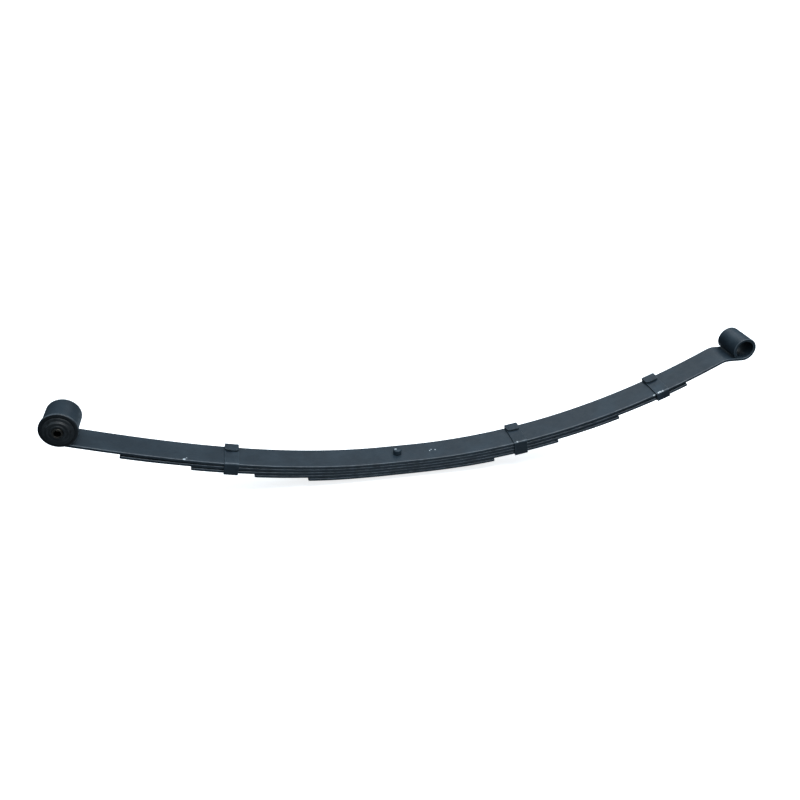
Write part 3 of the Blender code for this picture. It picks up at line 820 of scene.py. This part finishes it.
class SPRING_OT_short_leaves(bpy.types.Operator):
    """Build the four shorter leaves with their holes"""

    bl_idname = "spring.short_leaves"
    bl_label = "Shorter Leaves"

    def execute(self, context):
        leaf, bolt = context.scene.spring_leaf, context.scene.spring_bolt
        line = top_line(leaf)
        to_liner = leaf.liner_inset + leaf.liner / 2
        button = leaf.button + bolt.clearance
        for name in LEAVES:
            front, rear, _ = REACH[name]
            rows = at(line, strip_places(-front, rear, leaf.row, leaf.edge, leaf.corner))
            piece = leaf_piece(name, rows, top_depth(leaf, name, rows[:, 0]), leaf.corner)
            cutters = [
                drill(line, 0.0, bolt.radius + bolt.clearance, f"{name}_bolt_hole"),
                drill(line, to_liner - front, button, f"{name}_front_button_hole"),
                drill(line, rear - to_liner, button, f"{name}_rear_button_hole"),
            ]
            for clip, (held_by, _) in CLIPS.items():
                if held_by == name:
                    hole = rivet_points(clip, bolt.clearance)
                    cutters.append(make_piece(f"{clip}_leaf_hole", hole))
            cut(piece, cutters)
            stand_in(piece, name, leaf_enamel())
        return {"FINISHED"}


class SPRING_OT_liners(bpy.types.Operator):
    """Give the tip liners their moulded finish"""

    bl_idname = "spring.liners"
    bl_label = "Tip Liners"

    def execute(self, context):
        plastic = liner_plastic(context.scene.spring_finish)
        for name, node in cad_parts.items():
            if name.endswith("_tip_liner"):
                node.data.materials.clear()
                node.data.materials.append(plastic)
        return {"FINISHED"}


# ---- Clips


def strap_stretches(leaf, clip, stack):
    """The strap's middle line: over the top, down the near side, under, up and back over."""
    radius = clip.bend + clip.thickness / 2
    corner = (radius * QUARTER, 1 / radius, 1 / radius)
    half_span = leaf.width / 2 + clip.clearance + clip.thickness / 2
    height = stack + 2 * clip.clearance + clip.thickness
    rise = clip.thickness + clip.tab_gap
    band = half_span + leaf.width / 2 - clip.setback - radius
    return [
        (band, 0.0, 0.0),
        corner,
        (height - 2 * radius, 0.0, 0.0),
        corner,
        (2 * half_span - 2 * radius, 0.0, 0.0),
        corner,
        (height + rise - 2 * radius, 0.0, 0.0),
        corner,
        (clip.tab - radius, 0.0, 0.0),
    ]


class SPRING_OT_clips(bpy.types.Operator):
    """Build the three folded clips"""

    bl_idname = "spring.clips"
    bl_label = "Clips"

    def execute(self, context):
        scene = context.scene
        leaf, clip, bolt = scene.spring_leaf, scene.spring_clip, scene.spring_bolt
        # Pale spots along the near-top folds: painted highlights, with a chip among them
        chips_and_highlights = chip_and_highlight_spots(CLIP_CHIPS_AND_HIGHLIGHTS, clip.thickness)
        colours = scene.spring_finish
        # Its stronger edge lightening paints highlights along the folds as well as rubbed paint
        paint = enamel("clip_enamel", colours, wear_and_highlight=1.3, chips_and_highlights=chips_and_highlights, lines=0.0022, dusty=0.85)
        line = top_line(leaf)
        for name, (node, distance) in CLIPS.items():
            stack = float(top_depth(leaf, node, np.array(distance))) + leaf.thickness
            path = follow(strap_stretches(leaf, clip, stack), clip.step)
            rows = at(path, strip_places(0.0, path[-1, 0], clip.row, clip.edge, clip.corner))
            # The line starts over the top face and runs towards the near side
            rows[:, 1] = leaf.width / 2 - clip.setback - rows[:, 1]
            rows[:, 2] = clip.clearance + clip.thickness / 2 - rows[:, 2]
            rows[:, 3] += math.pi
            half = np.full(len(rows), clip.thickness / 2)
            points, edge, measure = sweep(
                rows, clip.width / 2, -half, half, clip.edge, (clip.edge, clip.corner), 0.0
            )
            # The folds are lightened as well, where the heading is between square turns: partly
            # rubbed paint, partly painted highlights along the folds
            edge = np.maximum(edge, np.sin(2 * rows[:, 3:4]) ** 2)
            # The strap was drawn in the X-Z plane: its line turns to run across the leaves
            crosswise = np.stack([points[..., 1], points[..., 0], points[..., 2]], axis=-1)
            points = placed(crosswise, *top_place(line, distance))
            piece = make_piece(f"{name}_surface", points, edge, measure)
            cut(piece, [make_piece(f"{name}_hole", rivet_points(name, bolt.clearance))])
            stand_in(piece, name, paint)
        return {"FINISHED"}


class SPRING_OT_rivets(bpy.types.Operator):
    """Build the clips' rivets"""

    bl_idname = "spring.rivets"
    bl_label = "Rivets"

    def execute(self, context):
        paint = enamel("rivet_enamel", context.scene.spring_finish)
        for name in CLIPS:
            piece = make_piece(f"{name}_rivet_surface", rivet_points(name, 0.0))
            stand_in(piece, f"{name}_rivet", paint)
        return {"FINISHED"}


# ---- Centre bolt


def bolt_points(bolt, touch_gap):
    """Points of the centre bolt: round head, plain shank down to the nut, thread and tip.

    The thread's radius rises and falls once in each pitch as a triangle wave, and moves by a
    pitch in one turn. Its depth runs out over the last two pitches.
    """
    top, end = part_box("centre_bolt")[1].z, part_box("centre_bolt")[0].z
    base, nut_top = seat_height() + touch_gap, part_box("centre_bolt_nut")[1].z
    head_corners = [
        (0, top, 0),
        (bolt.head, top, bolt.head_edge),
        (bolt.head, base, bolt.base_edge),
        (0, base, 0),
    ]
    head = fillet(head_corners)[:-1]
    core = bolt.radius - bolt.thread_depth
    shank = np.array([(bolt.radius, base), (bolt.radius, nut_top), (core, nut_top)])
    step, clear_of_tip = bolt.pitch / 8, 0.0001
    heights = np.arange(nut_top - step, end + bolt.tip + clear_of_tip, -step)[:, None]
    turns = np.arange(BOLT_SIDES) / BOLT_SIDES
    wave = 1 - np.abs(2 * ((heights / bolt.pitch + turns) % 1) - 1)
    lead = np.clip((heights - end) / (2 * bolt.pitch), 0, 1)
    thread = around(core + bolt.thread_depth * wave * lead, heights, BOLT_SIDES)
    narrow = 0.82 * core
    tip = np.array([(core, end + bolt.tip), (narrow, end), (0, end)])
    upper, lower = turned(np.vstack([head, shank]), BOLT_SIDES), turned(tip, BOLT_SIDES)
    return np.concatenate([upper, thread, lower])


def nut_points(bolt):
    """Points of the nut: a hexagon whose corners are cut by a cone of 30 degrees.

    A hexagon's radius is half its width over the cosine of the angle from the nearest flat. The
    bar that it was made from is turned, which blunts the corners.
    """
    low, high = (corner.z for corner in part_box("centre_bolt_nut"))
    flat = bolt.nut / 2
    blunt, face = 1.135 * flat, 0.95 * flat
    angle = np.arange(BOLT_SIDES) * TURN / BOLT_SIDES
    swing = (angle + math.pi / 6) % (math.pi / 3) - math.pi / 6
    hexagon = np.minimum(flat / np.cos(swing), blunt)
    slope = (hexagon - face) * math.tan(math.radians(30))
    bore = bolt.radius + bolt.clearance
    rows = [
        (bore + bolt.nut_chamfer, high),
        (face, high),
        (hexagon, high - slope),
        (hexagon, low + slope),
        (face, low),
        (bore + bolt.nut_chamfer, low),
        (bore, low + bolt.nut_chamfer),
        (bore, high - bolt.nut_chamfer),
    ]
    return np.stack([around(radius, height, BOLT_SIDES) for radius, height in rows])


class SPRING_OT_centre_bolt(bpy.types.Operator):
    """Build the centre bolt and its chamfered nut"""

    bl_idname = "spring.centre_bolt"
    bl_label = "Centre Bolt"

    def execute(self, context):
        scene = context.scene
        bolt = scene.spring_bolt
        # A pale spot on the cap's top: a painted highlight
        cap_highlight = [((-0.0036, 0.0010, -0.0002), 0.0027)]
        steel = enamel("bolt_enamel", scene.spring_finish, chips_and_highlights=cap_highlight, dusty=0.9)
        points = bolt_points(bolt, scene.spring_leaf.touch_gap)
        piece = make_piece("centre_bolt_surface", points)
        stand_in(piece, "centre_bolt", steel)
        nut = make_piece("centre_bolt_nut_surface", nut_points(bolt), closed=True)
        stand_in(nut, "centre_bolt_nut", steel)
        return {"FINISHED"}


# ---- Bushing


def eye_piece(name, profile, edge=None):
    """A closed ring turned about the front eye's axis; heights run to the near side."""
    points = facing_near(turned(profile, BUSHING_SIDES), FRONT_EYE)
    return make_piece(name, points, closed=True, edge=edge)


def shell_radii(scene):
    """Inner and outer radius of the bushing's shell, and the radius of its flange.

    The rolled eye is made of short chords, so the shell is as wide as they let it be.
    """
    leaf, bush = scene.spring_leaf, scene.spring_bushing
    within_chords = math.cos(math.radians(5))
    outer = leaf.front_bore / 2 * within_chords - scene.spring_bolt.clearance
    return outer - bush.wall, outer, leaf.front_bore / 2 + leaf.thickness + bush.overhang


def shell_profile(scene):
    """Radius and height round the shell's wall, with its flange on the near side."""
    bush, face = scene.spring_bushing, scene.spring_leaf.width / 2
    inner, outer, flange = shell_radii(scene)
    back = face - bush.flange
    return fillet(
        [
            (inner, face, bush.shell_edge),
            (flange, face, bush.flange_edge),
            (flange, back, bush.flange_back),
            (outer, back, 0.0),
            (outer, -face, bush.shell_edge),
            (inner, -face, bush.shell_edge),
        ]
    )


def rubber_profile(scene):
    """Radius and height round the rubber: a boss at both ends, and a lip over the flange.

    The near boss has a raised collar round the sleeve, with a shallow groove outside it, and
    falls a little towards its side.
    """
    leaf, bush = scene.spring_leaf, scene.spring_bushing
    gap, face = leaf.touch_gap, leaf.width / 2
    inner = shell_radii(scene)[0]
    body, bore = inner - gap, bush.sleeve_bore / 2 + bush.sleeve_wall + gap
    boss, rim = body - bush.boss_inset, inner + bush.lip_overlap
    low, end = face + gap, face + bush.boss
    lip, sunk = low + bush.lip, end - 0.0011
    collar, groove = bore + 0.0042, bore + 0.0062
    fall = (boss - 0.0012, end - 0.0006)
    return fillet(
        [
            (bore, end, 0.0006),
            (collar, end, 0.0012),
            (collar, sunk, 0.0004),
            (groove, sunk, 0.0004),
            (*fall, bush.boss_edge),
            (boss, lip, 0.0009),
            (rim, lip, 0.0010),
            (rim, low, 0.0004),
            (body, low, 0.0),
            (body, -face, 0.0),
            (boss, -face, 0.0),
            (boss, -end, bush.boss_edge),
            (bore, -end, 0.0006),
        ]
    )


def sleeve_points(bush):
    """Points of the inner sleeve, a tube with teeth on its ends.

    On the end faces the height falls and rises by a triangle wave of the angle.
    """
    half, inset = width_of("bushing_inner_sleeve", 1) / 2, bush.tooth_inset
    hole = bush.sleeve_bore / 2
    wide = hole + bush.sleeve_wall
    near = [
        (hole, half, bush.mouth_edge),
        (hole + inset, half, 0.0),
        (wide - inset, half, 0.0),
        (wide, half, bush.sleeve_edge),
    ]
    far = [(radius, -height, rounding) for radius, height, rounding in reversed(near)]
    profile = fillet(near + far)
    sides = bush.teeth * 6
    points = turned(profile, sides)
    share = np.arange(sides) * bush.teeth / sides % 1
    on_face = np.abs(profile[:, 1]) > half - SAME_POINT
    sunk = bush.tooth * (1 - np.abs(2 * share - 1)) * on_face[:, None]
    points[..., 2] -= np.sign(points[..., 2]) * sunk
    return points


class SPRING_OT_bushing(bpy.types.Operator):
    """Build the front eye's bushing: flanged shell, rubber and inner sleeve"""

    bl_idname = "spring.bushing"
    bl_label = "Bushing"

    def execute(self, context):
        scene = context.scene
        bush, colours = scene.spring_bushing, scene.spring_finish
        profile, flange = shell_profile(scene), shell_radii(scene)[2]
        rim = np.clip((profile[:, :1] - flange + bush.flange_edge) / bush.flange_edge, 0, 1)
        paint = enamel("black_enamel_on_pressed_shell", colours, colours.shell, 1.1, dusty=0.1)
        shell = eye_piece("shell_surface", profile, rim)
        stand_in(shell, "bushing_outer_shell", paint)
        rubber = eye_piece("rubber_surface", rubber_profile(scene))
        stand_in(rubber, "bushing_rubber", moulded_rubber(colours))
        points = facing_near(sleeve_points(bush), FRONT_EYE)
        sleeve = make_piece("sleeve_surface", points, closed=True)
        steel = sleeve_steel(colours)
        stand_in(sleeve, "bushing_inner_sleeve", steel, "inner_sleeve")
        return {"FINISHED"}


# ---- Studio


def softbox(name, watts, width, spot):
    """A square soft light that faces the spring."""
    light = bpy.data.lights.new(name, "AREA")
    light.energy, light.size = watts, width
    lamp = bpy.data.objects.new(name, light)
    lamp.location = spot
    lamp.rotation_euler = lamp.location.to_track_quat("Z", "Y").to_euler()
    bpy.context.scene.collection.objects.link(lamp)


def studio_room(stage):
    """A room lit softly from overhead, with a pale patch of floor bouncing light up in front.

    Brightness rises with height from the horizon to the ceiling, and below the horizon it falls
    off to both sides of the patch. The backdrop itself is white.
    """
    world = bpy.data.worlds.new("studio_room")
    world.use_nodes = True
    tree = world.node_tree
    # A direction's Z is its height and its X its place aside, both as shares of its length
    height = add(tree, "SeparateXYZ", add(tree, "TexCoord", output="Generated"), output="Z")
    low, high = 0.38, 0.78
    upper = add(tree, "MapRange", height, low, high, stage.horizon, stage.ceiling)
    patch_middle, patch_half, patch_fade, patch_dark = 0.20, 0.05, 0.38, 0.05
    aside = add(tree, "Math", height.node.outputs["X"], patch_middle, operation="SUBTRACT")
    aside = add(tree, "Math", aside, operation="ABSOLUTE")
    lower = add(tree, "MapRange", aside, patch_half, patch_fade, stage.bounce, patch_dark)
    floor_height, wall_height = -0.12, 0.04
    above = add(tree, "MapRange", height, floor_height, wall_height)
    below = add(tree, "Math", 1.0, above, operation="SUBTRACT")
    lower = add(tree, "Math", lower, below, operation="MULTIPLY")
    upper = add(tree, "Math", upper, above, operation="MULTIPLY")
    light = add(tree, "Math", lower, upper, operation="ADD")
    seen = add(tree, "LightPath", output="Is Camera Ray")
    cool, white = (0.76, 0.98, 1.16, 1.0), (1.0, 1.0, 1.0, 1.0)
    tint = add(tree, "Mix", seen, cool, white, data_type="RGBA")
    strength = add(tree, "Math", light, seen, operation="MAXIMUM")
    room = tree.nodes["Background"]
    tree.links.new(tint, room.inputs["Color"])
    tree.links.new(strength, room.inputs["Strength"])
    return world


class SPRING_OT_studio(bpy.types.Operator):
    """Build the pale floor, the soft lights and the camera"""

    bl_idname = "spring.studio"
    bl_label = "Studio"

    def execute(self, context):
        scene = context.scene
        stage = scene.spring_stage
        half = stage.floor / 2
        below_spring = 0.0005
        level = CAD_BOX[0][2] - below_spring
        mesh = bpy.data.meshes.new("floor")
        corners = [(-half, -half), (half, -half), (half, half), (-half, half)]
        mesh.from_pydata([(*corner, level) for corner in corners], [], [(0, 1, 2, 3)])
        mesh.materials.append(studio_floor(scene.spring_finish, stage.floor_light))
        floor = bpy.data.objects.new("floor", mesh)
        scene.collection.objects.link(floor)
        floor.visible_diffuse, floor.visible_glossy = False, False
        softbox("top_softbox", stage.top_power, stage.top_width, stage.top_place)
        softbox("back_softbox", stage.back_power, stage.back_width, stage.back_place)
        scene.world = studio_room(stage)
        scene.view_settings.view_transform = "Standard"
        lens = bpy.data.cameras.new("camera")
        lens.lens, lens.sensor_width, lens.clip_end = stage.lens, 36.0, 100.0
        camera = bpy.data.objects.new("camera", lens)
        camera.location, camera.rotation_euler = stage.camera, stage.turn
        scene.collection.objects.link(camera)
        scene.camera = camera
        return {"FINISHED"}


# ---- Add-on


SETTINGS = {
    "spring_leaf": LeafSizes,
    "spring_clip": ClipSizes,
    "spring_bolt": BoltSizes,
    "spring_bushing": BushingSizes,
    "spring_finish": Finishes,
    "spring_stage": StageSettings,
}
OPERATORS = (
    SPRING_OT_main_leaf,
    SPRING_OT_short_leaves,
    SPRING_OT_liners,
    SPRING_OT_clips,
    SPRING_OT_rivets,
    SPRING_OT_centre_bolt,
    SPRING_OT_bushing,
    SPRING_OT_studio,
)


class SPRING_PT_panel(bpy.types.Panel):
    """Lists the steps that build the spring"""

    bl_idname = "SPRING_PT_panel"
    bl_label = "Leaf Spring"
    bl_space_type = "VIEW_3D"
    bl_region_type = "UI"
    bl_category = "Leaf Spring"

    def draw(self, context):
        for operator in OPERATORS:
            self.layout.operator(operator.bl_idname)
        for name, group in SETTINGS.items():
            box = self.layout.box()
            box.label(text=group.__doc__)
            for key in group.__annotations__:
                box.prop(getattr(context.scene, name), key)


def register():
    """Make the settings, operators and panel known to Blender."""
    for name, group in SETTINGS.items():
        bpy.utils.register_class(group)
        setattr(bpy.types.Scene, name, PointerProperty(type=group))
    for operator in OPERATORS:
        bpy.utils.register_class(operator)
    bpy.utils.register_class(SPRING_PT_panel)


def unregister():
    """Take them out again, last first."""
    bpy.utils.unregister_class(SPRING_PT_panel)
    for operator in reversed(OPERATORS):
        bpy.utils.unregister_class(operator)
    for name, group in reversed(SETTINGS.items()):
        delattr(bpy.types.Scene, name)
        bpy.utils.unregister_class(group)


def main():
    """Build every piece and the studio."""
    register()
    bpy.ops.spring.main_leaf()
    bpy.ops.spring.short_leaves()
    bpy.ops.spring.liners()
    bpy.ops.spring.clips()
    bpy.ops.spring.rivets()
    bpy.ops.spring.centre_bolt()
    bpy.ops.spring.bushing()
    bpy.ops.spring.studio()


if __name__ == "__main__":
    main()
